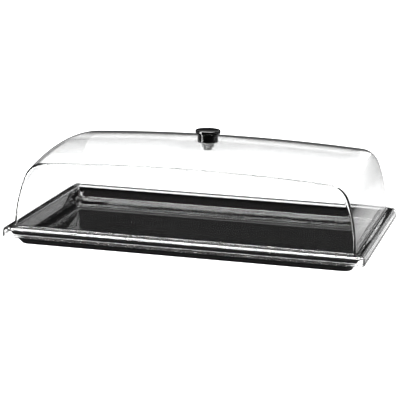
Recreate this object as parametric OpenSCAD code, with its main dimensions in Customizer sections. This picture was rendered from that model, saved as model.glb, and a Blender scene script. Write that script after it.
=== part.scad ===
// Covered display tray: a black moulded tray of gastronorm 1/1 size under a clear
// lift-off dome with a screwed-on knob. Millimetres, +Z up, origin at the middle of
// the tray's foot ring, on the surface that the tray stands on.

/* [Cover footprint] */
// Length of the cover over its turned-down lip
cover_l = 530; // [440:1:600]
// Width of the cover over its turned-down lip
cover_w = 325; // [280:1:340]
// Width of the flange from the wall's foot to the lip's outer face
flange_w = 15; // [14:0.5:18]
// Thickness of the clear wall, flange and lip
cover_t = 3; // [2.5:0.1:3.5]
// Drop of the lip below the top of the flange
lip_drop = 14; // [12:0.5:16]
// Outer corner radius of the lip
lip_corner_r = 20; // [19:0.5:24]
// Outside radius of the bend from flange to lip
lip_bend_r = 6; // [5.5:0.1:6.5]

/* [Dome] */
// Height of the roof's crown above the top of the flange
crown_h = 113; // [106:0.5:124]
// Radius of the roof's arc across the width
roof_width_r = 728; // [620:1:900]
// Radius of the roof's arc along the length
roof_length_r = 3270; // [2500:10:4000]
// Radius of the inward bow of each end wall
end_bow_r = 208; // [190:1:240]
// Height at which an end wall starts to bow inward
end_bow_start = 13; // [8:1:20]
// Radius of the shoulder between end wall and roof
shoulder_r = 31; // [24:1:36]
// Lean of the front and back faces from upright, in degrees
face_lean = 4.6; // [2:0.1:7]

/* [Tray] */
// Height of the rim's flat top above the table
tray_h = 24.4; // [20:0.2:27]
// Thickness of the tray's wall, floor and rim
tray_t = 3; // [2.5:0.1:3.2]
// Height of the foot ring below the floor's underside
foot_h = 5.2; // [1:0.1:6]
// Lean of the tray's wall from upright, in degrees
tray_lean = 32.5; // [28:0.5:34]
// Plan radius of the corners at the foot ring
foot_corner_r = 16; // [12:1:26]
// Plan radius of the corners where the wall meets the rim
rim_corner_r = 12; // [8:1:14]
// Gap between the rim's edge and the inside of the lip
rim_gap = 0.5; // [0.4:0.1:1]
// Width of the foot ring
foot_ring_w = 8; // [5:0.5:12]

/* [Knob] */
// Diameter of the knob's cap
knob_cap_d = 37.5; // [34:0.5:42]
// Thickness of the knob's cap
knob_cap_h = 5.5; // [5:0.5:8]
// Diameter of the knob's neck
knob_neck_d = 30.5; // [26:0.5:32]
// Height of the whole knob
knob_h = 18; // [14:0.2:20]
// Depth of the shallow dish in the cap's top
knob_dish = 0.8; // [0.4:0.1:1.2]
// Radius of the rounding on the cap's edges
knob_edge_r = 1.5; // [1:0.1:2]

/* [Knob fixing] */
// Diameter of the raised seat moulded on the crown
seat_d = 56; // [44:1:66]
// Height of the raised seat above the crown
seat_h = 0.6; // [0.4:0.1:1.2]
// Thickness of the gasket under the knob
gasket_t = 0.8; // [0.6:0.1:1.5]
// Nominal diameter of the fixing screw
screw_d = 6; // [5:0.5:6]
// Length of the screw below its head
screw_l = 17; // [16:0.5:18]
// Diameter of the screw's head
head_d = 12; // [10:0.5:13]
// Height of the screw's head
head_h = 3.5; // [3:0.1:4]
// Outside diameter of both washers
washer_d = 18; // [16:0.5:20]
// Thickness of the flat washer
washer_t = 1.2; // [1:0.1:1.6]
// Thickness of the sealing washer
seal_t = 1.5; // [1:0.1:2]
// Outside diameter of the brass insert
insert_d = 9; // [8.5:0.5:10]
// Length of the brass insert
insert_l = 11; // [10:0.5:12]

/* [Hidden] */
$fn = 96;
hull_fn = 48;
eps = 0.01;

// Levels
flange_top = tray_h + cover_t;
lip_bottom = flange_top - lip_drop;
crown_z = flange_top + crown_h;
seat_z = crown_z + seat_h;
knob_z = seat_z + gasket_t;

// The foot line is the outline of the dome's wall on the flange
foot_x = cover_l / 2 - flange_w;
foot_y = cover_w / 2 - flange_w;
foot_line_r = lip_corner_r - flange_w;

// Dome: heights are measured from the flange's top, lengths from the middle
roof_axis_depth = roof_width_r - crown_h;
end_centre = [end_bow_start, foot_x - end_bow_r];
roof_centre = [crown_h - roof_length_r, 0];
centre_gap = norm(roof_centre - end_centre);
end_reach = end_bow_r - shoulder_r;
roof_reach = roof_length_r - shoulder_r;
along = (centre_gap ^ 2 + end_reach ^ 2 - roof_reach ^ 2) / (2 * centre_gap);
across = sqrt(end_reach ^ 2 - along ^ 2);
gap_dir = (roof_centre - end_centre) / centre_gap;
side_dir = [-gap_dir[1], gap_dir[0]];
shoulder_up = end_centre + along * gap_dir + across * side_dir;
shoulder_down = end_centre + along * gap_dir - across * side_dir;
shoulder_centre = shoulder_up[1] > shoulder_down[1] ? shoulder_up : shoulder_down;
end_dir = (shoulder_centre - end_centre) / norm(shoulder_centre - end_centre);
roof_dir = (shoulder_centre - roof_centre) / norm(shoulder_centre - roof_centre);
sweep_angle = 50;
below = 40;
above = 30;
half_overlap = 60;

// Tray: offsets are measured outward from the foot line
lip_inner = flange_w - cover_t;
rim_edge = lip_inner - rim_gap;
rim_edge_r = lip_bend_r - cover_t;
rim_under = tray_h - tray_t;
lean_run = tan(tray_lean);
wall_run = tray_t / cos(tray_lean);
wall_top_out = rim_edge - rim_edge_r - 1.5;
wall_foot_out = wall_top_out - rim_under * lean_run;
wall_top_in = wall_top_out - wall_run + tray_t * lean_run;
floor_z = foot_h + tray_t;
wall_floor_in = wall_foot_out - wall_run + floor_z * lean_run;

// Fixing
pad_d = washer_d + 4;
pad_drop = 0.6;
pad_z = crown_z - cover_t - pad_drop;
washer_z = pad_z - seal_t - washer_t;
head_z = washer_z - head_h;
hole_d = screw_d + 0.4;
socket_d = 0.55 * head_d;
socket_depth = 0.6 * head_h;
chamfer = 0.6;
gasket_d = knob_neck_d - 1;

// Carries a cross-section round a rectangle with rounded corners. The section's X is
// measured from the corner centres, which lie radius r inside the foot line.
module carry_round(r) {
    cx = foot_x - r;
    cy = foot_y - r;
    for (side = [0, 1]) {
        mirror([side, 0, 0])
            translate([cx, cy, 0])
                rotate([90, 0, 0])
                    linear_extrude(2 * cy)
                        children();
        mirror([0, side, 0])
            rotate([0, 0, 90])
                translate([cy, cx, 0])
                    rotate([90, 0, 0])
                        linear_extrude(2 * cx)
                            children();
    }
    for (sx = [0, 1])
        for (sy = [0, 1])
            mirror([sx, 0, 0])
                mirror([0, sy, 0])
                    translate([cx, cy, 0])
                        rotate_extrude(angle = 90)
                            children();
}

// Thin plate with rounded corners, reaching "out" beyond the foot line
module corner_discs(out, r, z, t) {
    for (sx = [-1, 1])
        for (sy = [-1, 1])
            translate([sx * (foot_x + out - r), sy * (foot_y + out - r), z])
                cylinder(r = r, h = t, $fn = hull_fn);
}

// Solid with rounded corners that widens from a lower outline to an upper one
module flared_block(out_low, r_low, z_low, out_high, r_high, z_high) {
    hull() {
        corner_discs(out_low, r_low, z_low, eps);
        corner_discs(out_high, r_high, z_high - eps, eps);
    }
}

// Cross-section of the rim: flat on top, with a rounded outer edge
module rim_section() {
    translate([foot_line_r, 0]) {
        translate([wall_top_out - 2, rim_under])
            square([rim_edge - rim_edge_r - wall_top_out + 2, tray_t]);
        intersection() {
            translate([rim_edge - rim_edge_r, tray_h - rim_edge_r])
                circle(r = rim_edge_r);
            translate([rim_edge - rim_edge_r, rim_under])
                square([rim_edge_r, tray_t]);
        }
    }
}

module tray() {
    color([0.05, 0.05, 0.055])
        difference() {
            union() {
                flared_block(wall_foot_out, foot_corner_r, 0,
                             wall_top_out, rim_corner_r, rim_under + eps);
                carry_round(foot_line_r) rim_section();
                corner_block(wall_top_out, rim_under, tray_h);
            }
            // inside of the tray
            flared_block(wall_floor_in, foot_corner_r, floor_z,
                         wall_top_in + lean_run, rim_corner_r, tray_h + 1);
            // recess under the floor, inside the foot ring
            corner_recess();
        }
}

// Upright block under the rim's flat top that closes the wall to the rim
module corner_block(out, z_low, z_high) {
    flared_block(out, rim_corner_r, z_low, out, rim_corner_r, z_high);
}

module corner_recess() {
    flared_block(wall_foot_out - foot_ring_w, foot_corner_r - foot_ring_w, -1,
                 wall_foot_out - foot_ring_w, foot_corner_r - foot_ring_w, foot_h);
}

// One end of the arch outline in [height, length], out to a wall inset by "inset"
module arch_half(inset) {
    end_x = foot_x - inset;
    t1 = end_centre + (end_bow_r - inset) * end_dir;
    t2 = roof_centre + (roof_length_r - inset) * roof_dir;
    difference() {
        intersection() {
            union() {
                translate([-below, -half_overlap])
                    square([below + end_bow_start, end_x + half_overlap]);
                intersection() {
                    translate(end_centre)
                        circle(r = end_bow_r - inset, $fn = 720);
                    translate([end_bow_start - 1, -half_overlap])
                        square([crown_h, end_x + half_overlap]);
                }
            }
            translate(roof_centre)
                circle(r = roof_length_r - inset, $fn = 7200);
        }
        // the corner that the shoulder's arc replaces
        polygon([t1, 2 * t1 - shoulder_centre, 2 * t2 - shoulder_centre, t2]);
    }
    translate(shoulder_centre)
        circle(r = shoulder_r - inset);
}

// The arch, swept about an axis that lies along X far below the tray
module arch_sweep(inset) {
    translate([0, 0, flange_top - roof_axis_depth])
        rotate([0, 90, 0])
            rotate([0, 0, 180 - sweep_angle / 2])
                rotate_extrude(angle = sweep_angle, $fn = 720)
                    translate([roof_axis_depth, 0]) {
                        arch_half(inset);
                        mirror([0, 1])
                            arch_half(inset);
                    }
}

// Wedge between the leaning front and back faces
module face_wedge(inset) {
    half = foot_y - inset / cos(face_lean);
    lean = tan(face_lean);
    low = -below / 2;
    high = crown_h + above;
    translate([-foot_x - 1, 0, flange_top])
        rotate([90, 0, 90])
            linear_extrude(2 * foot_x + 2)
                polygon([[-half + low * lean, low], [half - low * lean, low],
                         [half - high * lean, high], [-half + high * lean, high]]);
}

// Cross-section of the flange with its bend and turned-down lip
module flange_section() {
    bend_x = flange_w - lip_bend_r;
    bend_z = flange_top - lip_bend_r;
    translate([foot_line_r, 0]) {
        translate([-cover_t / 2, tray_h])
            square([bend_x + cover_t / 2, cover_t]);
        translate([bend_x, bend_z])
            intersection() {
                difference() {
                    circle(r = lip_bend_r);
                    circle(r = lip_bend_r - cover_t);
                }
                square(lip_bend_r);
            }
        translate([lip_inner, lip_bottom])
            square([cover_t, bend_z - lip_bottom]);
    }
}

module dome() {
    color([0.85, 0.9, 0.95, 0.35])
        difference() {
            union() {
                intersection() {
                    arch_sweep(0);
                    face_wedge(0);
                    translate([-foot_x - 1, -foot_y - 1, tray_h])
                        cube([2 * foot_x + 2, 2 * foot_y + 2, crown_h + above]);
                }
                carry_round(foot_line_r) flange_section();
                translate([0, 0, crown_z - cover_t / 2])
                    cylinder(d = seat_d, h = seat_h + cover_t / 2);
            }
            // inside of the dome, open at the bottom
            difference() {
                intersection() {
                    arch_sweep(cover_t);
                    face_wedge(cover_t);
                }
                translate([0, 0, pad_z])
                    cylinder(d = pad_d, h = cover_t);
            }
            // screw hole
            translate([0, 0, pad_z - 1])
                cylinder(d = hole_d, h = cover_t + pad_drop + seat_h + 2);
        }
}

// Outline of the knob, radius against height above its foot
module knob_section() {
    cap_z = knob_h - knob_cap_h;
    cap_r = knob_cap_d / 2;
    neck_r = knob_neck_d / 2;
    polygon([[0, 0], [neck_r - chamfer, 0], [neck_r, chamfer], [neck_r, cap_z],
             [cap_r - knob_edge_r, cap_z], [cap_r - knob_edge_r, knob_h], [0, knob_h]]);
    translate([cap_r - knob_edge_r, cap_z + knob_edge_r])
        square([knob_edge_r, knob_cap_h - 2 * knob_edge_r]);
    for (z = [cap_z + knob_edge_r, knob_h - knob_edge_r])
        translate([cap_r - knob_edge_r, z])
            intersection() {
                circle(r = knob_edge_r);
                translate([0, -knob_edge_r])
                    square([knob_edge_r, 2 * knob_edge_r]);
            }
}

module knob() {
    dish_r = knob_cap_d / 2 - knob_edge_r - 1;
    dish_ball_r = (dish_r ^ 2 + knob_dish ^ 2) / (2 * knob_dish);
    color([0.04, 0.04, 0.045])
        translate([0, 0, knob_z])
            difference() {
                rotate_extrude()
                    knob_section();
                translate([0, 0, knob_h + dish_ball_r - knob_dish])
                    sphere(r = dish_ball_r);
                translate([0, 0, -1])
                    cylinder(d = insert_d, h = insert_l + 1);
            }
}

module threaded_insert() {
    color("goldenrod")
        translate([0, 0, knob_z])
            difference() {
                cylinder(d = insert_d, h = insert_l);
                translate([0, 0, -1])
                    cylinder(d = screw_d, h = insert_l + 2);
            }
}

module washer(outer_d, t, z) {
    translate([0, 0, z])
        difference() {
            cylinder(d = outer_d, h = t);
            translate([0, 0, -1])
                cylinder(d = hole_d, h = t + 2);
        }
}

module knob_gasket() {
    color([0.12, 0.12, 0.12])
        washer(gasket_d, gasket_t, seat_z);
}

module sealing_washer() {
    color([0.15, 0.15, 0.15])
        washer(washer_d, seal_t, pad_z - seal_t);
}

module flat_washer() {
    color("silver")
        washer(washer_d, washer_t, washer_z);
}

module knob_screw() {
    color("silver")
        translate([0, 0, head_z])
            difference() {
                union() {
                    cylinder(d1 = head_d - 2 * chamfer, d2 = head_d, h = chamfer);
                    translate([0, 0, chamfer])
                        cylinder(d = head_d, h = head_h - chamfer);
                    cylinder(d = screw_d, h = head_h + screw_l - chamfer);
                    translate([0, 0, head_h + screw_l - chamfer])
                        cylinder(d1 = screw_d, d2 = screw_d - 2 * chamfer, h = chamfer);
                }
                // hexagon socket
                translate([0, 0, -1])
                    cylinder(d = socket_d, h = socket_depth + 1, $fn = 6);
            }
}

tray();
dome();
knob();
threaded_insert();
knob_gasket();
sealing_washer();
flat_washer();
knob_screw();
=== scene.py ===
"""Covered display tray: a black moulded tray under a clear lift-off dome with a knob.

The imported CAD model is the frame. Lengths in the shape functions are millimetres, like the
CAD, and are scaled to metres when a mesh is made.
"""
import math

import bmesh
import bpy
import numpy as np
from mathutils import Matrix, Quaternion, Vector


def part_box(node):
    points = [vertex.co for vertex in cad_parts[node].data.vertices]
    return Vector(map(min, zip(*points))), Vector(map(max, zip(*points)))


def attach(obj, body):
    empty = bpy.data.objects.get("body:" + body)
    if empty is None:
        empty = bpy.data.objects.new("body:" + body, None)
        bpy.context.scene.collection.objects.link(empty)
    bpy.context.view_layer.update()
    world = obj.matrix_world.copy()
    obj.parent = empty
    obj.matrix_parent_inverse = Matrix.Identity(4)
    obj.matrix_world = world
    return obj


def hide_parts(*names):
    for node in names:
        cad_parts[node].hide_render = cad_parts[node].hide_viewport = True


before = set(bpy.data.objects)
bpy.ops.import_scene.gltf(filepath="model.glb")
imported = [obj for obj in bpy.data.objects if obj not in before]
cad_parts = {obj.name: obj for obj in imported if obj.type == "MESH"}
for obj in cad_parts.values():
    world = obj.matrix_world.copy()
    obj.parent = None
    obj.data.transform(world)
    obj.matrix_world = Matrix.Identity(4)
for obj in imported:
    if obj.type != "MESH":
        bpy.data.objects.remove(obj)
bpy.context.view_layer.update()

MM = 0.001

# ---------------------------------------------------------------- sizes from the frame
dome_lo, dome_hi = (np.array(c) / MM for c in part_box("dome"))
_, tray_hi = (np.array(c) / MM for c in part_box("tray"))
knob_lo, knob_hi = (np.array(c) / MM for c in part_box("knob"))
insert_lo, insert_hi = (np.array(c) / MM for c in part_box("threaded_insert"))
gasket_lo, gasket_hi = (np.array(c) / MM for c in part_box("knob_gasket"))
seal_lo, seal_hi = (np.array(c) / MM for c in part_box("sealing_washer"))
washer_lo, washer_hi = (np.array(c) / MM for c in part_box("flat_washer"))
screw_lo, screw_hi = (np.array(c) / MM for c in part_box("knob_screw"))

# ---------------------------------------------------------------- sizes of the dome
COVER_T = 3.0                      # wall of the clear cover
FLANGE_W = 15.0                    # wall's foot to the lip's outer face
LIP_CORNER_R = 10.0                # plan radius of the lip's outer corners
LIP_CORNER_IN_R = 7.0              # and of its inner ones
BEND_R = 6.0                       # bend from flange to lip, outside
FOOT_X = dome_hi[0] - FLANGE_W     # foot line of the dome's wall, half length
FOOT_Y = dome_hi[1] - FLANGE_W     # and half width
FOOT_LINE_R = 5.0                  # plan radius of the foot line's corners
BEAD_R = 1.0                       # two fine beads along the lip's lower edge
BEAD_GAP = 2.9                     # height from one's centre to the other's
BEAD_OUT = 0.6                     # how far they stand out from the lip's face
BEAD_NOOK_R = 0.3                  # fillet where the upper one meets the lip's face
TRAY_H = tray_hi[2]
FLANGE_TOP = TRAY_H + COVER_T
LIP_BOTTOM = dome_lo[2]
SEAT_H = 0.6                       # raised seat under the knob
SEAT_FLAT_R = 16.0                 # its flat part
SEAT_FADE_R = 70.0                 # and where it has faded out
CROWN_H = dome_hi[2] - SEAT_H - FLANGE_TOP

# arch of the dome: end walls, shoulders and roof, in (height above flange, length)
ROOF_WIDTH_R = 728.0
ROOF_LENGTH_R = 3270.0
END_BOW_R = 208.0
END_BOW_START = 13.0
SHOULDER_R = 31.0
FACE_LEAN = math.radians(4.6)
AXIS_DEPTH = ROOF_WIDTH_R - CROWN_H

OUTER_CREASE_R = 4.4               # rounding of the dome's creases, outside
INNER_CREASE_R = 1.6               # and inside
FOOT_FILLET = 2.6                  # between the wall and the flange
SETTLE_STEPS = 14                  # steps that move a sharp skin onto the rounded one

# ---------------------------------------------------------------- sizes of the tray
TRAY_LEAN = 32.5                   # lean of the tray's wall from upright, in degrees
TRAY_T = 3.0
FOOT_H = 5.2                       # height of the foot ring
FOOT_CORNER_R = 13.0               # plan radius of the outer corners at the foot
RIM_CORNER_R = 9.0                 # and under the rim
INSIDE_CORNER_R = 6.0              # and of the tray's inside
FOOT_RING_W = 6.0
RIM_FLAT = 1.5                     # flat under the rim, from the wall to its rounded edge
RIM_EDGE = tray_hi[0] - FOOT_X
RIM_EDGE_R = BEND_R - COVER_T
RIM_UNDER = TRAY_H - TRAY_T
LEAN_RUN = math.tan(math.radians(TRAY_LEAN))
WALL_RUN = TRAY_T / math.cos(math.radians(TRAY_LEAN))
WALL_TOP_OUT = RIM_EDGE - RIM_EDGE_R - RIM_FLAT
WALL_FOOT_OUT = WALL_TOP_OUT - RIM_UNDER * LEAN_RUN
WALL_TOP_IN = WALL_TOP_OUT - WALL_RUN + TRAY_T * LEAN_RUN
FLOOR_Z = FOOT_H + TRAY_T
WALL_FLOOR_IN = WALL_FOOT_OUT - WALL_RUN + FLOOR_Z * LEAN_RUN

# ---------------------------------------------------------------- sizes of the knob and fixing
KNOB_CAP_H = 5.5
KNOB_NECK_R = 15.25
KNOB_DISH = 0.1                    # depth of the dish in the cap's top
HEAD_H = 3.5                       # height of the screw's head
SOCKET_SHARE = 0.55                # socket's width over its corners, as a share of the head's
SOCKET_DEPTH_SHARE = 0.6           # and its depth, as a share of the head's height
SCREW_R = 3.0
HOLE_R = SCREW_R + 0.2
THREAD_PITCH = 1.0
KNURL_WAVES = 12                   # sine waves of the insert's knurl round its axis
KNURL_TWIST = 1.5                  # and how their phase shifts with height, in radians per mm
TURN_N = 144                       # points round a turned piece

# ---------------------------------------------------------------- looks and stage
DOME_IOR = 1.49
BEAD_TOP = float(LIP_BOTTOM + BEAD_GAP + 2 * BEAD_R + BEAD_NOOK_R)
BEAD_GLOSS = 0.22                  # roughness of the beads
FLOOR_GLOW = 2.15                  # brightness of the floor where it is seen directly
FLOOR_DROP = -0.05                 # millimetres, so that it stays clear of the foot ring
PAINTED_REFLECTION_NEAR = -0.5                  # metres along Y where the painted reflection's ramp starts and ends
PAINTED_REFLECTION_FAR = 1.5
# painted reflection: brightness the floor shows in reflections, set by position along Y rather than
# by lighting
PAINTED_REFLECTION_STOPS = [(0.12, 0.05), (0.2, 0.25), (0.33, 0.9), (0.5, 0.6), (0.65, 0.1)]
WORLD_STOPS = [(0.0, 0.2), (0.12, 0.7), (0.18, 0.03), (0.4, 0.03), (0.7, 0.3), (0.95, 0.3)]
CAMERA_AZIMUTH = 14.377            # degrees, from the front towards the right
CAMERA_ELEVATION = 12.964
CAMERA_ROLL = 1.197
CAMERA_DISTANCE = 2.4793           # metres
CAMERA_SLIDE = (0.00913, -0.02499)  # metres that the aim lies left of and below the flange's middle
CAMERA_LENS = 149.08               # millimetres
CAMERA_SENSOR = 36.0


# ---------------------------------------------------------------- dome surface
def tangent_shoulder():
    """Centre of the shoulder's arc, and the directions of its two tangent points."""
    end_c = np.array([END_BOW_START, FOOT_X - END_BOW_R])
    roof_c = np.array([CROWN_H - ROOF_LENGTH_R, 0.0])
    gap = np.linalg.norm(roof_c - end_c)
    reach_end = END_BOW_R - SHOULDER_R
    reach_roof = ROOF_LENGTH_R - SHOULDER_R
    along = (gap**2 + reach_end**2 - reach_roof**2) / (2 * gap)
    across = math.sqrt(reach_end**2 - along**2)
    d = (roof_c - end_c) / gap
    side = np.array([-d[1], d[0]])
    centre = max((end_c + along * d + across * side, end_c + along * d - across * side),
                 key=lambda p: p[1])
    end_dir = (centre - end_c) / np.linalg.norm(centre - end_c)
    roof_dir = (centre - roof_c) / np.linalg.norm(centre - roof_c)
    return end_c, roof_c, centre, end_dir, roof_dir


END_C, ROOF_C, SHOULDER_C, END_DIR, ROOF_DIR = tangent_shoulder()


def angle_of(vec):
    return math.atan2(vec[0], vec[1])


SHOULDER_A0 = angle_of(END_DIR)
SHOULDER_A1 = angle_of(ROOF_DIR)
SHOULDER_MID = 0.5 * (SHOULDER_A0 + SHOULDER_A1)


def arch_field(u, v):
    """Signed distance to the arch outline and its gradient, v being the half length."""
    du, dv = u - SHOULDER_C[0], v - SHOULDER_C[1]
    a = np.arctan2(du, dv)
    on_roof = (a > SHOULDER_A1) | (dv < -SHOULDER_R)
    on_wall = (a < SHOULDER_A0) & ~on_roof
    cu = np.where(on_roof, ROOF_C[0], np.where(on_wall, END_C[0], SHOULDER_C[0]))
    cv = np.where(on_roof, ROOF_C[1], np.where(on_wall, END_C[1], SHOULDER_C[1]))
    rad = np.where(on_roof, ROOF_LENGTH_R, np.where(on_wall, END_BOW_R, SHOULDER_R))
    upright = on_wall & (u < END_BOW_START)
    cu = np.where(upright, u, cu)
    d = np.hypot(u - cu, v - cv)
    return d - rad, (u - cu) / d, (v - cv) / d


def shell_field(p, inset, crease_r):
    """Signed distance to the dome's surface, creases rounded, with its gradient."""
    x, y, h = p[:, 0], p[:, 1], p[:, 2] - FLANGE_TOP
    rho = np.hypot(h + AXIS_DEPTH, y)
    f1, gu, gv = arch_field(rho - AXIS_DEPTH, np.abs(x))
    g1 = np.stack([gv * np.sign(x), gu * y / rho, gu * (h + AXIS_DEPTH) / rho], -1)
    f1 = f1 + inset
    f2 = (np.abs(y) - FOOT_Y + h * math.tan(FACE_LEAN)) * math.cos(FACE_LEAN) + inset
    g2 = np.stack([np.zeros_like(x), np.sign(y) * math.cos(FACE_LEAN),
                   np.full_like(x, math.sin(FACE_LEAN))], -1)
    a = np.maximum(f1 + crease_r, 0)
    b = np.maximum(f2 + crease_r, 0)
    both = (a > 0) & (b > 0)
    s = np.where(both, np.sqrt(a**2 + b**2), 1.0)
    f = np.where(both, s - crease_r, np.maximum(f1, f2))
    g = np.where(both[:, None], (a / s)[:, None] * g1 + (b / s)[:, None] * g2,
                 np.where((f1 > f2)[:, None], g1, g2))
    return f, g


def settle(p, inset, crease_r, level):
    """Moves points near the sharp surface onto the rounded one. Level ones keep their height."""
    p = p.copy()
    for _ in range(SETTLE_STEPS):
        f, g = shell_field(p, inset, crease_r)
        g[level, 2] = 0
        p -= (f / np.maximum((g**2).sum(1), 1e-9))[:, None] * g
    return p


def spread(length, fine, growth, coarse, both_ends=True):
    """Distances from 0 to length, close together near an end and even in the middle."""
    near = [0.0]
    step = fine
    limit = length / 2 if both_ends else length
    while step < coarse and near[-1] + step < limit:
        near.append(near[-1] + step)
        step *= growth
    near = np.array(near)
    if both_ends:
        rest = length - 2 * near[-1]
        n = max(2, int(round(rest / coarse)))
        mid = near[-1] + rest * np.arange(1, n) / n
        return np.concatenate([near, mid, (length - near)[::-1]])
    rest = length - near[-1]
    n = max(2, int(round(rest / coarse)))
    mid = near[-1] + rest * np.arange(1, n + 1) / n
    return np.concatenate([near, mid])


FINE = 0.35                        # spacing of the grid's lines beside a crease
GROWTH = 1.2                       # how fast it grows from there
COARSE = 6.5                       # and the widest it gets
COLS = spread(2 * FOOT_X, FINE, GROWTH, COARSE) / (2 * FOOT_X)      # 0..1 along X
DEEP = spread(2 * FOOT_Y, FINE, GROWTH, COARSE) / (2 * FOOT_Y)      # 0..1 along Y
RISE = 1 - spread(100.0, FINE, GROWTH, 5.0, both_ends=False)[::-1] / 100.0  # 0..1 upward
NX, NY, NZ = len(COLS), len(DEEP), len(RISE)


def arch_arc(centre, radius, angles):
    """Points (mid-plane height, half length) on an arc of the arch outline."""
    return [(centre[0] + radius * math.sin(a), centre[1] + radius * math.cos(a)) for a in angles]


def arch_lines(inset):
    """The outline from well below the foot to mid shoulder, and from there to the crown."""
    shoulder = SHOULDER_R - inset
    low = [(u, FOOT_X - inset) for u in np.linspace(-30, END_BOW_START, 20)]
    low += arch_arc(END_C, END_BOW_R - inset, np.linspace(0, SHOULDER_A0, 120)[1:])
    low += arch_arc(SHOULDER_C, shoulder, np.linspace(SHOULDER_A0, SHOULDER_MID, 40)[1:])
    high = arch_arc(SHOULDER_C, shoulder, np.linspace(SHOULDER_MID, SHOULDER_A1, 40))
    high += arch_arc(ROOF_C, ROOF_LENGTH_R - inset, np.linspace(SHOULDER_A1, math.pi / 2, 200)[1:])
    return np.array(low), np.array(high)


def height_at(u, y):
    """Height above the flange of a point whose mid-plane height is u."""
    return np.sqrt((u + AXIS_DEPTH)**2 - y**2) - AXIS_DEPTH


def plane_height(h, y):
    """Mid-plane height of a point at height h above the flange."""
    return np.hypot(h + AXIS_DEPTH, y) - AXIS_DEPTH


def face_y(h, inset):
    return FOOT_Y - inset / math.cos(FACE_LEAN) - h * math.tan(FACE_LEAN)


def crease(line, inset):
    """The crease over a piece of arch, as (x, y, h) with x and y positive."""
    u, v = line[:, 0], line[:, 1]
    k = math.tan(FACE_LEAN)
    reach = face_y(0, inset)
    a = 1 + k * k
    b = 2 * AXIS_DEPTH - 2 * reach * k
    c = AXIS_DEPTH**2 + reach**2 - (u + AXIS_DEPTH)**2
    h = (-b + np.sqrt(np.maximum(b * b - 4 * a * c, 0))) / (2 * a)
    return np.stack([v, reach - k * h, h], -1)


def resample(line, fractions):
    """Points at fractions of a polyline's length."""
    step = np.linalg.norm(np.diff(line, axis=0), axis=1)
    s = np.concatenate([[0], np.cumsum(step)])
    want = np.asarray(fractions) * s[-1]
    return np.stack([np.interp(want, s, line[:, i]) for i in range(line.shape[1])], -1)


def shell_grids(inset, base_h):
    """Sharp grids (front, right end, roof) of one skin of the dome, row 0 at height base_h."""
    lower, upper = arch_lines(inset)
    up = crease(lower, inset)
    foot = [np.interp(base_h, up[:, 2], up[:, 0]), face_y(base_h, inset), base_h]
    edge = resample(np.vstack([foot, up[up[:, 2] > base_h]]), RISE)
    half = crease(upper, inset)
    top = resample(np.vstack([half * [-1, 1, 1], half[-2::-1]]), COLS)
    across = 2 * COLS - 1
    deep = 2 * DEEP - 1
    front = np.zeros((NZ, NX, 3))
    end = np.zeros((NZ, NY, 3))
    roof = np.zeros((NY, NX, 3))
    for j, (w, corner) in enumerate(zip(RISE, edge)):
        front[j, :, 0] = across * corner[0] + w * (top[:, 0] - across * top[-1, 0])
        front[j, :, 2] = corner[2] + w * (top[:, 2] - top[-1, 2])
        front[j, :, 1] = -face_y(front[j, :, 2], inset)
        # level at the foot, and along the arch's own sweep at the shoulder
        y = corner[1] * deep
        h = w * height_at(plane_height(corner[2], corner[1]), y) + (1 - w) * corner[2]
        end[j, :, 0] = np.interp(plane_height(h, y), lower[:, 0], lower[:, 1])
        end[j, :, 1] = y
        end[j, :, 2] = h
    for i, corner in enumerate(top):
        y = corner[1] * deep
        roof[:, i, 0] = corner[0]
        roof[:, i, 1] = y
        roof[:, i, 2] = height_at(plane_height(corner[2], corner[1]), y)
    for g in (front, end, roof):
        g[..., 2] += FLANGE_TOP
    return front, end, roof


def rounded_skin(inset, crease_r, base_h):
    """The three grids with their creases rounded."""
    out = []
    for g in shell_grids(inset, base_h):
        flat = g.reshape(-1, 3)
        level = np.isclose(flat[:, 2], FLANGE_TOP + base_h)
        out.append(settle(flat, inset, crease_r, level).reshape(g.shape))
    return out


# ---------------------------------------------------------------- mesh building
class Builder:
    """Collects points and faces in millimetres, then welds them into one mesh."""

    def __init__(self):
        self.points = []
        self.faces = []

    def add(self, pts):
        start = len(self.points)
        self.points.extend(map(tuple, pts))
        return list(range(start, len(self.points)))

    def grid(self, g):
        rows, cols = g.shape[:2]
        ids = np.array(self.add(g.reshape(-1, 3))).reshape(rows, cols)
        for j in range(rows - 1):
            for i in range(cols - 1):
                self.faces.append((ids[j, i], ids[j, i + 1], ids[j + 1, i + 1], ids[j + 1, i]))

    def tube(self, loops):
        """Quads between closed loops that all have the same number of points."""
        ids = [self.add(loop) for loop in loops]
        n = len(ids[0])
        for a, b in zip(ids, ids[1:]):
            for i in range(n):
                k = (i + 1) % n
                self.faces.append((a[i], a[k], b[k], b[i]))

    def fill(self, loop):
        """A level grid inside a loop made by ring()."""
        nx, ny = NX - 1, NY - 1
        near, right = loop[:nx + 1], loop[nx:nx + ny + 1]
        far = loop[nx + ny:2 * nx + ny + 1][::-1]
        left = np.vstack([loop[2 * nx + ny:], loop[:1]])[::-1]
        s, t = COLS[None, :, None], DEEP[:, None, None]
        g = (1 - t) * near[None] + t * far[None] + (1 - s) * left[:, None] + s * right[:, None]
        g -= (1 - t) * ((1 - s) * near[0] + s * near[-1]) + t * ((1 - s) * far[0] + s * far[-1])
        self.grid(g)

    def build(self, name, weld=0.002):
        mesh = bpy.data.meshes.new(name)
        mesh.from_pydata([tuple(c * MM for c in p) for p in self.points], [], self.faces)
        bm = bmesh.new()
        bm.from_mesh(mesh)
        bmesh.ops.remove_doubles(bm, verts=bm.verts, dist=weld * MM)
        bmesh.ops.recalc_face_normals(bm, faces=bm.faces)
        bm.to_mesh(mesh)
        bm.free()
        mesh.polygons.foreach_set("use_smooth", [True] * len(mesh.polygons))
        mesh.update()
        obj = bpy.data.objects.new(name, mesh)
        bpy.context.collection.objects.link(obj)
        return obj


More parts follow.
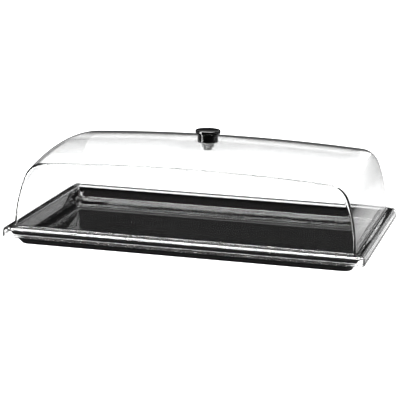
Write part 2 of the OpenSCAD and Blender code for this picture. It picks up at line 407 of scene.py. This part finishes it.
def arc(cx, cz, r, start, stop, n):
    """Points on an arc of a cross-section, angles in degrees from the outward direction."""
    return [(cx + r * math.cos(a), cz + r * math.sin(a))
            for a in np.radians(np.linspace(start, stop, n))]


def supported(parts, gap=0.5):
    """Joins arcs of a cross-section, with a point close to each end of every straight."""
    points = list(parts[0])
    for part in parts[1:]:
        start, stop = np.array(points[-1]), np.array(part[0])
        span = np.linalg.norm(stop - start)
        if span > 3 * gap:
            points += [tuple(start + (stop - start) * gap / span),
                       tuple(stop - (stop - start) * gap / span)]
        points += part
    return points


def ring(out, z, radius):
    """A rounded rectangle that lies out beyond the foot line. Its points match the dome's
    foot side by side, and are closer together near the corners."""
    bend = math.pi * radius / 4

    def side(half, fractions):
        """(along, inward) of one side's points, from corner middle to corner middle."""
        total = 2 * (half - radius + bend)
        s = fractions * total
        mirror = s > total / 2
        s = np.where(mirror, total - s, s)
        a = np.maximum(math.pi / 4 - s / radius, 0)
        along = radius - half - radius * np.sin(a) + np.maximum(s - bend, 0)
        inward = radius * (1 - np.cos(a))
        return np.where(mirror, -along, along), inward

    hx, hy = FOOT_X + out, FOOT_Y + out
    ax, dx = side(hx, COLS[:-1])
    ay, dy = side(hy, DEEP[:-1])
    pts = np.vstack([np.stack([ax, -hy + dx], -1), np.stack([hx - dy, ay], -1),
                     np.stack([-ax, hy - dx], -1), np.stack([-hx + dy, -ay], -1)])
    return np.column_stack([pts, np.full(len(pts), z)])


def foot_loop(front, end):
    """The closed loop along row 0 of a skin, in the order that ring() uses."""
    f, e = front[0], end[0]
    back = (f * [1, -1, 1])[::-1]
    left = (e * [-1, 1, 1])[::-1]
    return np.concatenate([f[:-1], e[:-1], back[:-1], left[:-1]])


# ---------------------------------------------------------------- dome
def skin(builder, grids):
    """All five faces of one skin from its front, right end and roof."""
    front, end, roof = grids
    builder.grid(front)
    builder.grid(front * [1, -1, 1])
    builder.grid(end)
    builder.grid(end * [-1, 1, 1])
    builder.grid(roof)


def seat_lift(p):
    """Height of the seat under the knob, which fades out into the roof round it."""
    d = np.hypot(p[..., 0], p[..., 1])
    t = np.clip((SEAT_FADE_R - d) / (SEAT_FADE_R - SEAT_FLAT_R), 0, 1)
    return SEAT_H * t * t * (3 - 2 * t)


def make_dome():
    """The clear cover: arch, flange and turned-down lip with its beads."""
    b = Builder()
    foot_edge = 0.7                    # rounding of the inside's lower edge
    hold_top = 4.0                     # points that keep the flange flat beside its bends
    hold_under = (3.0, 1.0)
    outer = rounded_skin(0.0, OUTER_CREASE_R, FOOT_FILLET)
    inner = rounded_skin(COVER_T, INNER_CREASE_R, foot_edge - COVER_T)
    outer[2][..., 2] += seat_lift(outer[2])
    skin(b, outer)
    skin(b, inner)
    wall = foot_loop(outer[0], outer[1])
    inside = foot_loop(inner[0], inner[1])
    flat = ring(FOOT_FILLET, FLANGE_TOP, FOOT_LINE_R + FOOT_FILLET)
    loops = [wall]
    for t in np.linspace(0, math.pi / 2, 7)[1:]:
        loop = wall + (flat - wall) * (1 - math.cos(t))
        loop[:, 2] = FLANGE_TOP + FOOT_FILLET * (1 - math.sin(t))
        loops.append(loop)
    bend_o, bend_z = FLANGE_W - BEND_R, FLANGE_TOP - BEND_R
    lip_o = FLANGE_W - COVER_T
    edge = 1.1                         # rounding of the lip's inner lower edge
    face_o = FLANGE_W - BEAD_OUT
    section = supported([
        [(hold_top, FLANGE_TOP)],
        arc(bend_o - BEAD_OUT, bend_z, BEND_R, 90, 0, 17),
        arc(face_o + BEAD_NOOK_R, LIP_BOTTOM + BEAD_GAP + 2 * BEAD_R, BEAD_NOOK_R, 180, 270, 4),
        arc(FLANGE_W - BEAD_R, LIP_BOTTOM + BEAD_GAP + BEAD_R, BEAD_R, 75, -75, 13),
        arc(FLANGE_W - BEAD_R, LIP_BOTTOM + BEAD_R, BEAD_R, 75, -90, 15),
        arc(lip_o + edge, LIP_BOTTOM + edge, edge, -90, -180, 6),
        arc(bend_o, bend_z, BEND_R - COVER_T, 0, 90, 9),
        [(o, TRAY_H) for o in hold_under]])
    corner_o = (FOOT_FILLET, lip_o, FLANGE_W)
    corner_r = (FOOT_LINE_R + FOOT_FILLET, LIP_CORNER_IN_R, LIP_CORNER_R)
    loops += [ring(o, z, np.interp(o, corner_o, corner_r)) for o, z in section]
    under = ring(foot_edge - COVER_T, TRAY_H, FOOT_LINE_R)
    for t in np.linspace(0, math.pi / 2, 5):
        loop = under + (inside - under) * math.sin(t)
        loop[:, 2] = TRAY_H + foot_edge * (1 - math.cos(t))
        loops.append(loop)
    b.tube(loops)
    return b.build("dome_clear")


# ---------------------------------------------------------------- tray
def make_tray():
    """The black moulding: floor, leaning wall, rim and foot ring."""
    lean = 90 - TRAY_LEAN
    tangent = math.tan(math.radians(lean / 2))
    rim_c = RIM_EDGE - RIM_EDGE_R
    blunt = 0.5                        # rounding of the small edges
    hold = (1.5, 3.0)                  # points that keep both sides of the floor flat
    knot_o, knot_r = 5.0, 2.0          # corner radius that far inside the foot ring
    blunt_o = rim_c + math.sqrt(RIM_EDGE_R**2 - 2 * RIM_EDGE_R * blunt)
    blunt_a = math.degrees(math.atan2(blunt, blunt_o - rim_c))
    recess_o = WALL_FOOT_OUT - FOOT_RING_W
    floor_r, top_r, under_r, foot_r = 3.0, 1.5, 1.0, 1.5
    inside = WALL_FLOOR_IN - floor_r * tangent
    within = supported([
        [(inside - hold[1], FLOOR_Z), (inside - hold[0], FLOOR_Z)],
        arc(inside, FLOOR_Z + floor_r, floor_r, -90, lean - 90, 8),
        arc(WALL_TOP_IN + top_r * tangent, TRAY_H - top_r, top_r, 90 + lean, 90, 7)])
    outside = supported([
        arc(rim_c, TRAY_H - RIM_EDGE_R, RIM_EDGE_R, 90, blunt_a, 9),
        arc(blunt_o, RIM_UNDER + blunt, blunt, blunt_a, -90, 5),
        arc(WALL_TOP_OUT + under_r * tangent, RIM_UNDER - under_r, under_r, 90, 90 + lean, 6),
        arc(WALL_FOOT_OUT - foot_r * tangent, foot_r, foot_r, lean - 90, -90, 7),
        arc(recess_o + blunt, blunt, blunt, -90, -180, 5),
        arc(recess_o - blunt, FOOT_H - blunt, blunt, 0, 90, 5),
        [(recess_o - hold[0], FOOT_H), (recess_o - hold[1], FOOT_H)]])
    knots = (recess_o - knot_o, recess_o, WALL_FOOT_OUT, WALL_TOP_OUT, RIM_EDGE)
    radii = (knot_r, FOOT_CORNER_R - FOOT_RING_W, FOOT_CORNER_R, RIM_CORNER_R,
             FOOT_LINE_R + RIM_EDGE)
    loops = [ring(o, z, INSIDE_CORNER_R) for o, z in within]
    loops += [ring(o, z, np.interp(o, knots, radii)) for o, z in outside]
    b = Builder()
    b.fill(loops[0])
    b.tube(loops)
    b.fill(loops[-1])
    return b.build("tray_moulding")


# ---------------------------------------------------------------- turned pieces
def circle(r, z, n=TURN_N):
    a = np.arange(n) * 2 * math.pi / n
    return np.column_stack([r * np.cos(a), r * np.sin(a), np.full(n, z)])


def turned(name, section):
    """A piece turned about the Z axis. A section that starts and ends on the axis is solid;
    otherwise it closes on itself."""
    b = Builder()
    solid = section[0][0] == 0
    body = section[1:-1] if solid else section + section[:1]
    b.tube([circle(r, z) for r, z in body])
    if solid:
        for (tip_r, tip_z), (r, z) in ((section[0], section[1]), (section[-1], section[-2])):
            hub = b.add([(tip_r, 0, tip_z)])[0]
            rim = b.add(circle(r, z))
            b.faces.extend((hub, rim[i], rim[(i + 1) % TURN_N]) for i in range(TURN_N))
    return b.build(name)


def make_knob():
    """The knob: wide cap on a narrower neck, with the insert's hole."""
    z0 = knob_lo[2]
    top = knob_hi[2]
    cap_r = knob_hi[0]
    edge, foot_r, joint_r = 1.5, 0.6, 1.0    # roundings of the cap, the foot and between them
    hold, margin, cap_flat = 0.4, 0.8, 1.0   # points beside the hole's edges, flat round the dish
    cap_z = top - KNOB_CAP_H
    dish_r = cap_r - edge - cap_flat
    ball = (dish_r**2 + KNOB_DISH**2) / (2 * KNOB_DISH)
    dish = [(dish_r * k, top - KNOB_DISH + ball - math.sqrt(ball**2 - (dish_r * k)**2))
            for k in np.linspace(1, 0, 14)]
    hole_r, hole_top = insert_hi[0], insert_hi[2]
    section = [(0, hole_top), (hole_r * 0.6, hole_top), (hole_r, hole_top),
               (hole_r, hole_top - hold), (hole_r, z0 + hold), (hole_r, z0),
               (hole_r + margin, z0), (KNOB_NECK_R - foot_r - margin, z0)]
    section += arc(KNOB_NECK_R - foot_r, z0 + foot_r, foot_r, -90, 0, 6)
    section += arc(KNOB_NECK_R + joint_r, cap_z - joint_r, joint_r, 180, 90, 6)
    section += arc(cap_r - edge, cap_z + edge, edge, -90, 0, 9)
    section += arc(cap_r - edge, top - edge, edge, 0, 90, 9)
    section += dish
    return turned("knob_turned", section)


def make_washer(name, lo, hi, hole_r, edge):
    """A flat ring with rounded edges."""
    r, z0, z1 = hi[0], lo[2], hi[2]
    section = arc(r - edge, z0 + edge, edge, -90, 0, 5) + arc(r - edge, z1 - edge, edge, 0, 90, 5)
    section += [(r - 2 * edge, z1), (hole_r + 2 * edge, z1)]
    section += arc(hole_r + edge, z1 - edge, edge, 90, 180, 5)
    section += arc(hole_r + edge, z0 + edge, edge, 180, 270, 5)
    section += [(hole_r + 2 * edge, z0), (r - 2 * edge, z0)]
    return turned(name, section)


def thread_loop(r, depth, z):
    """A circle whose radius dips where the thread's groove runs past at this height."""
    a = np.arange(TURN_N) * 2 * math.pi / TURN_N
    phase = np.mod(z / THREAD_PITCH - a / (2 * math.pi), 1.0)
    dip = depth * np.clip(1.6 - 4 * np.abs(phase - 0.5), 0, 1)
    return np.column_stack([(r - dip) * np.cos(a), (r - dip) * np.sin(a), np.full(TURN_N, z)])


def make_screw():
    """Socket head screw, head down, with its thread."""
    lo, hi = screw_lo, screw_hi
    head_top = lo[2] + HEAD_H
    head_r = hi[0]
    socket_r = SOCKET_SHARE * head_r
    edge = 0.5
    corner = np.arange(TURN_N) * 2 * math.pi / TURN_N
    hexagon = socket_r * math.cos(math.pi / 6) / np.cos(np.mod(corner, math.pi / 3) - math.pi / 6)

    def hex_loop(scale, z):
        return np.column_stack([scale * hexagon * np.cos(corner), scale * hexagon * np.sin(corner),
                                np.full(TURN_N, z)])

    floor_z = lo[2] + SOCKET_DEPTH_SHARE * HEAD_H
    loops = [hex_loop(0.05, floor_z), hex_loop(0.9, floor_z), hex_loop(1, floor_z),
             hex_loop(1, floor_z - 0.3), hex_loop(1, lo[2] + 0.2), hex_loop(1.06, lo[2])]
    loops += [circle(r, z) for r, z in [(head_r - 2 * edge, lo[2])]
              + arc(head_r - edge, lo[2] + edge, edge, -90, 0, 6)
              + arc(head_r - 0.2, head_top - 0.2, 0.2, 0, 90, 3)
              + [(SCREW_R + 0.4, head_top), (SCREW_R, head_top + 0.4)]]
    groove = 0.4
    rows = np.arange(head_top + 1.0, hi[2] - 0.6, THREAD_PITCH / 8)
    loops += [thread_loop(SCREW_R, min(groove, groove * (z - head_top - 0.9)), z) for z in rows]
    loops += [circle(SCREW_R - 0.4, hi[2] - 0.4), circle(SCREW_R - 0.9, hi[2]), circle(0.2, hi[2])]
    b = Builder()
    b.tube(loops)
    first = b.add(loops[0])
    last = b.add(loops[-1])
    b.faces += [tuple(first), tuple(last)]
    return b.build("screw_turned")


def make_insert():
    """Brass bush with a diamond knurl outside and a thread inside."""
    z0, z1, r = insert_lo[2], insert_hi[2], insert_hi[0]
    a = np.arange(TURN_N) * 2 * math.pi / TURN_N

    def knurl(z, depth):
        one_way = np.abs(np.sin(KNURL_WAVES * a + KNURL_TWIST * z))
        other_way = np.abs(np.sin(KNURL_WAVES * a - KNURL_TWIST * z))
        wave = one_way * other_way
        rr = r - depth * (1 - wave)
        return np.column_stack([rr * np.cos(a), rr * np.sin(a), np.full(TURN_N, z)])

    depth = 0.25                       # of the knurl and of the thread
    bevel, mouth, band = 0.4, 0.3, 0.8  # end chamfers outside and inside, half the plain band
    middle = 0.5 * (z0 + z1)
    loops = [circle(r - bevel, z0)]
    loops += [knurl(z, 0.0 if abs(z - middle) < band else depth)
              for z in np.arange(z0 + bevel, z1 - bevel + 0.01, 0.3)]
    loops += [circle(r - bevel, z1), circle(SCREW_R + mouth, z1)]
    loops += [thread_loop(SCREW_R, -depth, z)
              for z in np.arange(z1 - mouth, z0 + mouth, -THREAD_PITCH / 8)]
    loops += [circle(SCREW_R + mouth, z0)]
    loops.append(loops[0])
    b = Builder()
    b.tube(loops)
    return b.build("insert_knurled")


# ---------------------------------------------------------------- materials
def new_material(name, **sockets):
    """A material whose shader sockets are set directly, with its node tree and shader."""
    mat = bpy.data.materials.new(name)
    mat.use_nodes = True
    tree = mat.node_tree
    shader = tree.nodes["Principled BSDF"]
    for key, value in sockets.items():
        shader.inputs[key.replace("_", " ")].default_value = value
    return mat, tree, shader


def noise(tree, scale, detail=3.0, stretch=(1, 1, 1), roughness=0.5):
    """A noise texture's value in object space, so that it needs no UV map."""
    coords = tree.nodes.new("ShaderNodeTexCoord")
    place = tree.nodes.new("ShaderNodeMapping")
    place.inputs["Scale"].default_value = stretch
    tex = tree.nodes.new("ShaderNodeTexNoise")
    tex.inputs["Scale"].default_value = scale
    tex.inputs["Detail"].default_value = detail
    tex.inputs["Roughness"].default_value = roughness
    tree.links.new(coords.outputs["Object"], place.inputs["Vector"])
    tree.links.new(place.outputs["Vector"], tex.inputs["Vector"])
    return tex.outputs["Fac"]


def coordinate(tree, space, axis):
    """One coordinate of the shaded point."""
    coords = tree.nodes.new("ShaderNodeTexCoord")
    split = tree.nodes.new("ShaderNodeSeparateXYZ")
    tree.links.new(coords.outputs[space], split.inputs["Vector"])
    return split.outputs[axis]


def ramp(tree, value, stops):
    """A colour ramp over a value; stops are (position, grey or colour)."""
    node = tree.nodes.new("ShaderNodeValToRGB")
    for k, (position, colour) in enumerate(stops):
        element = node.color_ramp.elements[k] if k < 2 else node.color_ramp.elements.new(position)
        element.position = position
        rgb = colour if isinstance(colour, tuple) else (colour,) * 3
        element.color = (*rgb, 1.0)
    tree.links.new(value, node.inputs["Fac"])
    return node.outputs["Color"]


def calculate(tree, operation, first, second):
    """A math node's result. The first value is a socket, the second a number or a socket."""
    node = tree.nodes.new("ShaderNodeMath")
    node.operation = operation
    tree.links.new(first, node.inputs[0])
    if isinstance(second, (int, float)):
        node.inputs[1].default_value = second
    else:
        tree.links.new(second, node.inputs[1])
    return node.outputs["Value"]


def bump(tree, shader, value, strength, distance):
    node = tree.nodes.new("ShaderNodeBump")
    node.inputs["Strength"].default_value = strength
    node.inputs["Distance"].default_value = distance
    tree.links.new(value, node.inputs["Height"])
    tree.links.new(node.outputs["Normal"], shader.inputs["Normal"])


def black_plastic(name, rough_low, rough_high, ripple):
    """Moulded gloss black, with uneven gloss and the slightest orange peel."""
    mat, tree, shader = new_material(name, IOR=1.5, Base_Color=(0, 0, 0, 1))
    wear = noise(tree, scale=95.0, detail=6.0, roughness=0.6)
    tree.links.new(ramp(tree, wear, [(0.35, rough_low), (0.75, rough_high)]),
                   shader.inputs["Roughness"])
    bump(tree, shader, noise(tree, scale=160.0, detail=2.0), ripple, distance=0.0002)
    return mat


def clear_plastic():
    """Polished clear acrylic with the faintest moulding flow, and satin beads along the lip."""
    mat, tree, shader = new_material("clear_acrylic", Transmission_Weight=1.0, IOR=DOME_IOR)
    flow = noise(tree, scale=9.0, detail=3.0, stretch=(1, 2.5, 1))
    tree.links.new(ramp(tree, flow, [(0.3, (0.985, 0.99, 0.99)), (0.7, (1.0, 1.0, 1.0))]),
                   shader.inputs["Base Color"])
    haze = ramp(tree, noise(tree, scale=60.0, detail=5.0), [(0.4, 0.0), (0.8, 0.006)])
    beads = calculate(tree, "LESS_THAN", coordinate(tree, "Object", "Z"), BEAD_TOP * MM)
    satin = calculate(tree, "MULTIPLY", beads, BEAD_GLOSS)
    tree.links.new(calculate(tree, "MAXIMUM", haze, satin), shader.inputs["Roughness"])
    waves = noise(tree, scale=14.0, detail=1.0, stretch=(1, 2, 1))
    bump(tree, shader, waves, strength=0.002, distance=0.0005)
    return mat


def silicone():
    """Natural silicone rubber: milky, soft and faintly uneven."""
    mat, tree, shader = new_material("natural_silicone", Specular_IOR_Level=0.35)
    tree.links.new(ramp(tree, noise(tree, scale=400.0, detail=4.0), [(0.3, 0.78), (0.7, 0.86)]),
                   shader.inputs["Base Color"])
    tree.links.new(ramp(tree, noise(tree, scale=900.0, detail=3.0), [(0.3, 0.45), (0.7, 0.7)]),
                   shader.inputs["Roughness"])
    bump(tree, shader, noise(tree, scale=2500.0, detail=2.0), strength=0.3, distance=0.0001)
    return mat


def nylon():
    """Natural nylon: off-white and waxy."""
    mat, tree, shader = new_material("natural_nylon", Specular_IOR_Level=0.5)
    tones = [(0.3, (0.8, 0.8, 0.78)), (0.7, (0.88, 0.88, 0.86))]
    tree.links.new(ramp(tree, noise(tree, scale=250.0, detail=4.0), tones),
                   shader.inputs["Base Color"])
    tree.links.new(ramp(tree, noise(tree, scale=700.0, detail=3.0), [(0.3, 0.25), (0.7, 0.4)]),
                   shader.inputs["Roughness"])
    bump(tree, shader, noise(tree, scale=1800.0, detail=2.0), strength=0.15, distance=0.0001)
    return mat


def brass():
    """Turned brass: fine rings round the axis and slightly uneven tone."""
    mat, tree, shader = new_material("brass", Metallic=1.0)
    coords = tree.nodes.new("ShaderNodeTexCoord")
    rings = tree.nodes.new("ShaderNodeTexWave")
    rings.wave_type = "RINGS"
    rings.rings_direction = "Z"
    rings.inputs["Scale"].default_value = 900.0
    rings.inputs["Distortion"].default_value = 1.5
    tree.links.new(coords.outputs["Object"], rings.inputs["Vector"])
    tones = [(0.3, (0.62, 0.42, 0.16)), (0.7, (0.8, 0.58, 0.26))]
    tree.links.new(ramp(tree, noise(tree, scale=300.0, detail=3.0), tones),
                   shader.inputs["Base Color"])
    tree.links.new(ramp(tree, rings.outputs["Fac"], [(0.2, 0.2), (0.8, 0.35)]),
                   shader.inputs["Roughness"])
    bump(tree, shader, rings.outputs["Fac"], strength=0.15, distance=0.00005)
    return mat


def floor_material():
    """Pale table top, evenly bright where it is seen directly or through the dome. In reflections
    it shows a painted reflection instead, whose brightness follows Y: dark in front of the
    tray, brightest just behind it and dark again farther back."""
    mat = bpy.data.materials.new("pale_floor_painted_reflection")
    mat.use_nodes = True
    tree = mat.node_tree
    tree.nodes.remove(tree.nodes["Principled BSDF"])
    seen = tree.nodes.new("ShaderNodeEmission")
    seen.inputs["Strength"].default_value = FLOOR_GLOW
    tree.links.new(ramp(tree, noise(tree, scale=2.0, detail=2.0), [(0.3, 0.98), (0.7, 1.0)]),
                   seen.inputs["Color"])
    depth = tree.nodes.new("ShaderNodeMapRange")
    depth.inputs["From Min"].default_value = PAINTED_REFLECTION_NEAR
    depth.inputs["From Max"].default_value = PAINTED_REFLECTION_FAR
    tree.links.new(coordinate(tree, "Object", "Y"), depth.inputs["Value"])
    # painted reflection: reflected rays see this ramp over Y, not the floor as it is lit
    painted_reflection = tree.nodes.new("ShaderNodeEmission")
    tree.links.new(ramp(tree, depth.outputs["Result"], PAINTED_REFLECTION_STOPS), painted_reflection.inputs["Color"])
    path = tree.nodes.new("ShaderNodeLightPath")
    mix = tree.nodes.new("ShaderNodeMixShader")
    tree.links.new(calculate(tree, "GREATER_THAN", path.outputs["Glossy Depth"], 0.5),
                   mix.inputs["Fac"])
    tree.links.new(seen.outputs["Emission"], mix.inputs[1])
    tree.links.new(painted_reflection.outputs["Emission"], mix.inputs[2])
    tree.links.new(mix.outputs["Shader"], tree.nodes["Material Output"].inputs["Surface"])
    return mat


# ---------------------------------------------------------------- stage
def make_floor(half=9.0, cells=6):
    """The pale surface that the tray stands on."""
    steps = np.linspace(-half, half, cells + 1) / MM
    b = Builder()
    x, y = np.meshgrid(steps, steps)
    b.grid(np.dstack([x, y, np.full_like(x, FLOOR_DROP)]))
    floor = b.build("floor")
    floor.data.materials.append(floor_material())


def softbox(name, radiance, size, centre, target, roll=0.0):
    """A rectangular light of a given brightness that faces a target point. Neither the camera
    nor a diffuse ray sees it."""
    light = bpy.data.lights.new(name, "AREA")
    light.shape = "RECTANGLE"
    light.size, light.size_y = size
    light.energy = radiance * math.pi * size[0] * size[1]
    obj = bpy.data.objects.new(name, light)
    bpy.context.collection.objects.link(obj)
    obj.location = centre
    obj.rotation_mode = "QUATERNION"
    facing = (Vector(target) - Vector(centre)).to_track_quat("-Z", "Y")
    obj.rotation_quaternion = facing @ Quaternion((0, 0, 1), math.radians(roll))
    obj.visible_camera = False
    obj.visible_diffuse = False


def make_world():
    """Dim studio: a bright band just above the horizon, dark above that, grey overhead."""
    world = bpy.data.worlds.new("studio")
    world.use_nodes = True
    tree = world.node_tree
    shade = ramp(tree, coordinate(tree, "Generated", "Z"), WORLD_STOPS)
    back = tree.nodes["Background"]
    tree.links.new(shade, back.inputs["Color"])
    back.inputs["Strength"].default_value = 1.0
    bpy.context.scene.world = world


def make_camera():
    """A long lens from the front right, slightly above."""
    yaw, pitch, roll = (math.radians(a) for a in (CAMERA_AZIMUTH, CAMERA_ELEVATION, CAMERA_ROLL))
    ahead = Vector((-math.sin(yaw) * math.cos(pitch), math.cos(yaw) * math.cos(pitch),
                    -math.sin(pitch)))
    right = Vector((math.cos(yaw), math.sin(yaw), 0.0))
    up = right.cross(ahead)
    right, up = (math.cos(roll) * right + math.sin(roll) * up,
                 math.cos(roll) * up - math.sin(roll) * right)
    data = bpy.data.cameras.new("camera")
    data.lens = CAMERA_LENS
    data.sensor_width = CAMERA_SENSOR
    data.clip_start = 0.05
    data.clip_end = 100.0
    camera = bpy.data.objects.new("camera", data)
    bpy.context.collection.objects.link(camera)
    aim = Vector((0, 0, FLANGE_TOP * MM)) - right * CAMERA_SLIDE[0] - up * CAMERA_SLIDE[1]
    place = aim - ahead * CAMERA_DISTANCE
    camera.matrix_world = Matrix((
        (right.x, up.x, -ahead.x, place.x),
        (right.y, up.y, -ahead.y, place.y),
        (right.z, up.z, -ahead.z, place.z),
        (0, 0, 0, 1)))
    bpy.context.scene.camera = camera


# ---------------------------------------------------------------- assembly
def finish_piece(piece, material, body, node):
    """Gives a piece its material and the body it rides on, and hides the CAD node it stands for."""
    piece.data.materials.append(material)
    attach(piece, body)
    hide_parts(node)


nylon_white = nylon()
silicone_white = silicone()
finish_piece(make_tray(), black_plastic("gloss_black_tray", 0.03, 0.05, ripple=0.001),
             "base", "tray")
finish_piece(make_dome(), clear_plastic(), "cover", "dome")
finish_piece(make_knob(), black_plastic("gloss_black_knob", 0.02, 0.05, ripple=0.01),
             "cover", "knob")
finish_piece(make_insert(), brass(),
             "cover", "threaded_insert")
finish_piece(make_washer("gasket_ring", gasket_lo, gasket_hi, HOLE_R, edge=0.2), silicone_white,
             "cover", "knob_gasket")
finish_piece(make_washer("seal_ring", seal_lo, seal_hi, HOLE_R, edge=0.3), silicone_white,
             "cover", "sealing_washer")
finish_piece(make_washer("washer_ring", washer_lo, washer_hi, HOLE_R, edge=0.2), nylon_white,
             "cover", "flat_washer")
finish_piece(make_screw(), nylon_white, "cover", "knob_screw")

make_floor()
make_world()
make_camera()
softbox("overhead", radiance=22.0, size=(1.5, 0.9), centre=(0.0, -0.05, 1.3), target=(0, 0, 0))
softbox("left_strip", radiance=20.0, size=(0.3, 0.5), centre=(-0.62, -0.44, 0.25),
        target=(0, 0, 0.14))
softbox("back_high", radiance=1.6, size=(3.4, 1.4), centre=(0.0, 2.2, 1.9), target=(0, -1, 1.9))
softbox("back_right_card", radiance=1.6, size=(0.6, 0.2), centre=(0.43, 1.7, 0.326),
        target=(0.43, -1, 0.326), roll=-30.0)
bpy.context.scene.view_settings.view_transform = "Standard"
